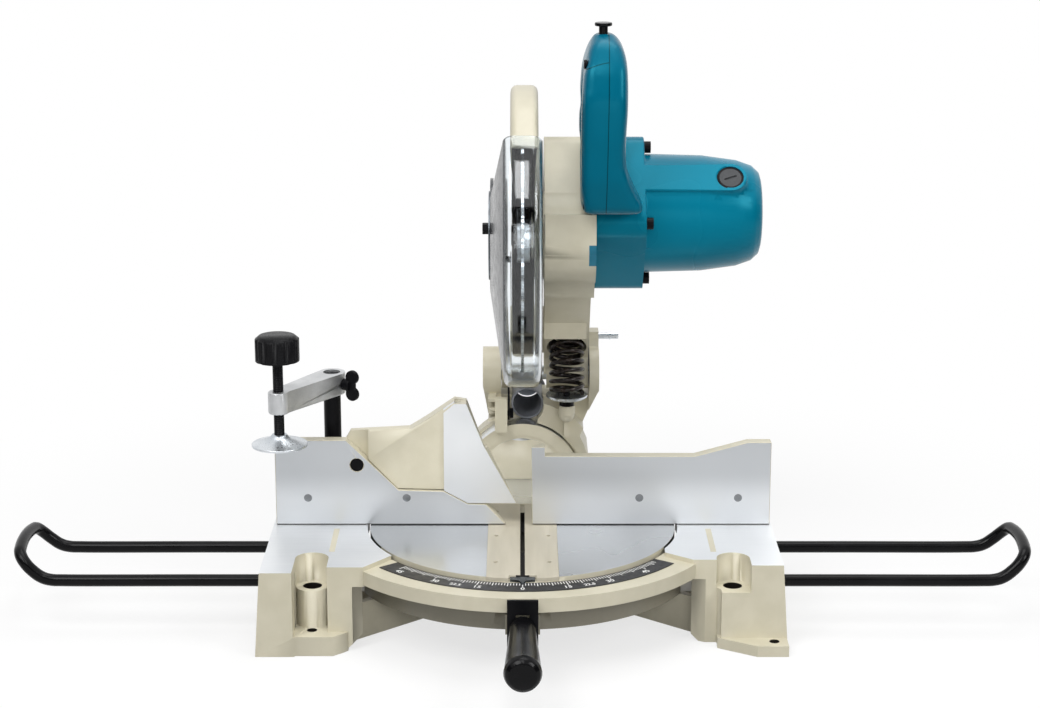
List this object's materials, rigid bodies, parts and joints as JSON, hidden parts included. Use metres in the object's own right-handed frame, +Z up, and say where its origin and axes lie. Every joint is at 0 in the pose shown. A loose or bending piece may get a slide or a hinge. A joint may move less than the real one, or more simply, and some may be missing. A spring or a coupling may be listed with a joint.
{
  "type": "mitre saw",
  "caption": "Compound mitre saw with a turntable, a bevel arm, a chopping head with a guarded blade and a D-handle, two fences, a clamp and two pull-out rod holders.",
  "frame": {"origin": "on the turntable's axis at the bench, with the fence face at y = 0", "axes": "+X to the operator's right, +Y to the back, +Z up"},
  "size_m": [0.9302, 0.53, 0.546],
  "materials": {
    "beige_paint": "gloss paint on cast aluminium",
    "bare_aluminium": "machined",
    "teal_plastic": "moulded, glossy",
    "black_plastic": "satin",
    "black_steel": "black oxide or black paint",
    "zinc_plate": "bright zinc plate",
    "machined_steel": "machined",
    "spring_steel": "dark oiled",
    "carbon": "matt",
    "clear_plastic": "clear, polished",
    "grey_plastic": "satin"
  },
  "bodies": {
    "base": {"base_casting": "beige_paint", "fence_left": "bare_aluminium", "fence_right": "bare_aluminium", "fence_bolts": "machined_steel", "scale_plate": "black_steel", "lock_screws": "black_steel", "sub_fence_screw": "black_steel"},
    "sub_fence": {"sub_fence": "beige_paint"},
    "turntable": {"turntable": "beige_paint", "kerf_insert_left": "beige_paint", "kerf_insert_right": "beige_paint", "mitre_pointer": "bare_aluminium", "turntable_bolt": "machined_steel", "bevel_bolt": "machined_steel"},
    "detent": {"detent_lever": "black_steel"},
    "grip": {"mitre_grip": "black_plastic"},
    "arm": {"arm": "beige_paint", "chop_shaft": "machined_steel", "spring_seat": "zinc_plate", "spring_bush": "black_plastic", "return_spring": "spring_steel", "dust_nozzle": "grey_plastic", "link_screw": "black_steel"},
    "bevel_lever": {"bevel_lever": "black_plastic"},
    "stopper": {"stopper_pin": "zinc_plate"},
    "link": {"guard_link": "black_steel"},
    "head": {"gear_housing": "beige_paint", "bearing_plate": "machined_steel", "blade_case": "beige_paint", "motor_housing": "teal_plastic", "handle_left": "teal_plastic", "handle_right": "teal_plastic", "handle_screws": "black_steel", "housing_bolts": "black_steel", "brush_caps": "black_plastic", "brushes": "carbon", "stator": "machined_steel", "bearings": "machined_steel", "switch_body": "black_plastic", "cord_inlet": "black_plastic"},
    "blade": {"saw_blade": "machined_steel", "inner_flange": "machined_steel", "outer_flange": "machined_steel", "arbor_bolt": "black_steel", "spindle": "machined_steel", "spindle_gear": "machined_steel"},
    "armature": {"armature": "machined_steel", "fan": "black_plastic"},
    "guard": {"lower_guard": "clear_plastic", "centre_cover": "zinc_plate", "cover_bolt": "black_steel"},
    "trigger": {"trigger": "black_plastic"},
    "button": {"lock_off_button": "black_plastic"},
    "vise_post": {"vise_post": "black_steel"},
    "vise_arm": {"vise_arm": "bare_aluminium"},
    "vise_pad": {"vise_pad": "zinc_plate"},
    "vise_screw": {"vise_screw": "black_steel"},
    "vise_thumb": {"vise_thumb_screw": "black_steel"},
    "holder_left": {"holder_left": "black_steel"},
    "holder_right": {"holder_right": "black_steel"}
  },
  "joints": [
    {"name": "turntable_swivel", "type": "hinge", "parent": "base", "child": "turntable", "pos_m": [0, 0, 0.079], "axis": [0, 0, 1], "range_deg": [-45, 52]},
    {"name": "detent_press", "type": "hinge", "parent": "turntable", "child": "detent", "pos_m": [0, -0.128, 0.034], "axis": [1, 0, 0], "range_deg": [0, 3], "stiffness_Nm_per_rad": 2, "springref_deg": -6.88},
    {"name": "grip_turn", "type": "hinge", "parent": "turntable", "child": "grip", "pos_m": [0, -0.191, 0.052], "axis": [0, 1, 0], "range_deg": [0, 180]},
    {"name": "bevel_tilt", "type": "hinge", "parent": "turntable", "child": "arm", "pos_m": [0, 0.162, 0.079], "axis": [0, 1, 0], "range_deg": [-16, 0]},
    {"name": "bevel_lever_swing", "type": "hinge", "parent": "arm", "child": "bevel_lever", "pos_m": [0, 0.21, 0.079], "axis": [0, 1, 0], "range_deg": [0, 60]},
    {"name": "stopper_pin_slide", "type": "slide", "parent": "arm", "child": "stopper", "axis": [1, 0, 0], "range_m": [-0.01, 0]},
    {"name": "head_chop", "type": "hinge", "parent": "arm", "child": "head", "pos_m": [0, 0.175, 0.179], "axis": [1, 0, 0], "range_deg": [0, 47.3], "stiffness_Nm_per_rad": 16, "springref_deg": -80.21, "deforming": ["return_spring"]},
    {"name": "link_swing", "type": "hinge", "parent": "arm", "child": "link", "pos_m": [0, 0.15, 0.144], "axis": [1, 0, 0], "range_deg": [0, 48]},
    {"name": "guard_swing", "type": "hinge", "parent": "head", "child": "guard", "pos_m": [0, 0.04178, 0.34648], "axis": [1, 0, 0], "range_deg": [-95, 0]},
    {"name": "blade_spin", "type": "hinge", "parent": "head", "child": "blade", "pos_m": [0, 0.04178, 0.34648], "axis": [1, 0, 0], "continuous": true},
    {"name": "armature_spin", "type": "hinge", "parent": "head", "child": "armature", "pos_m": [0, 0.08187, 0.35966], "axis": [1, 0, 0], "continuous": true},
    {"name": "trigger_pull", "type": "hinge", "parent": "head", "child": "trigger", "pos_m": [0.07525, -0.01022, 0.48598], "axis": [1, 0, 0], "range_deg": [-8, 0], "stiffness_Nm_per_rad": 0.6, "springref_deg": 17.19},
    {"name": "lock_off_press", "type": "slide", "parent": "head", "child": "button", "axis": [0, 0, 1], "range_m": [-0.004, 0], "stiffness_N_per_m": 600, "springref_m": 0.004},
    {"name": "sub_fence_flip", "type": "hinge", "parent": "base", "child": "sub_fence", "pos_m": [-0.154, 0.006, 0.1375], "axis": [0, 1, 0], "range_deg": [-30, 0]},
    {"name": "vise_swivel", "type": "hinge", "parent": "base", "child": "vise_post", "pos_m": [-0.178, 0.031, 0.1], "axis": [0, 0, 1], "range_deg": [0, 35]},
    {"name": "vise_height", "type": "slide", "parent": "vise_post", "child": "vise_arm", "axis": [0, 0, 1], "range_m": [-0.015, 0]},
    {"name": "vise_feed", "type": "slide", "parent": "vise_arm", "child": "vise_pad", "axis": [0, 0, 1], "range_m": [-0.025, 0]},
    {"name": "vise_screw_turn", "type": "hinge", "parent": "vise_pad", "child": "vise_screw", "pos_m": [-0.221, -0.036, 0.2], "axis": [0, 0, 1], "range_deg": [-3601, 1]},
    {"name": "thumb_screw_turn", "type": "hinge", "parent": "vise_arm", "child": "vise_thumb", "pos_m": [-0.178, 0.031, 0.20875], "axis": [0.866, -0.5, 0], "range_deg": [0, 180]},
    {"name": "holder_left_slide", "type": "slide", "parent": "base", "child": "holder_left", "axis": [-1, 0, 0], "range_m": [0, 0.025]},
    {"name": "holder_right_slide", "type": "slide", "parent": "base", "child": "holder_right", "axis": [1, 0, 0], "range_m": [0, 0.025]}
  ],
  "couplings": [
    {"joint": "link_swing", "follows": "head_chop", "ratio": 1},
    {"joint": "guard_swing", "follows": "head_chop", "ratio": -2},
    {"joint": "armature_spin", "follows": "blade_spin", "ratio": -4.3333},
    {"joint": "vise_screw_turn", "follows": "vise_feed", "rad_per_m": 2513.3}
  ]
}
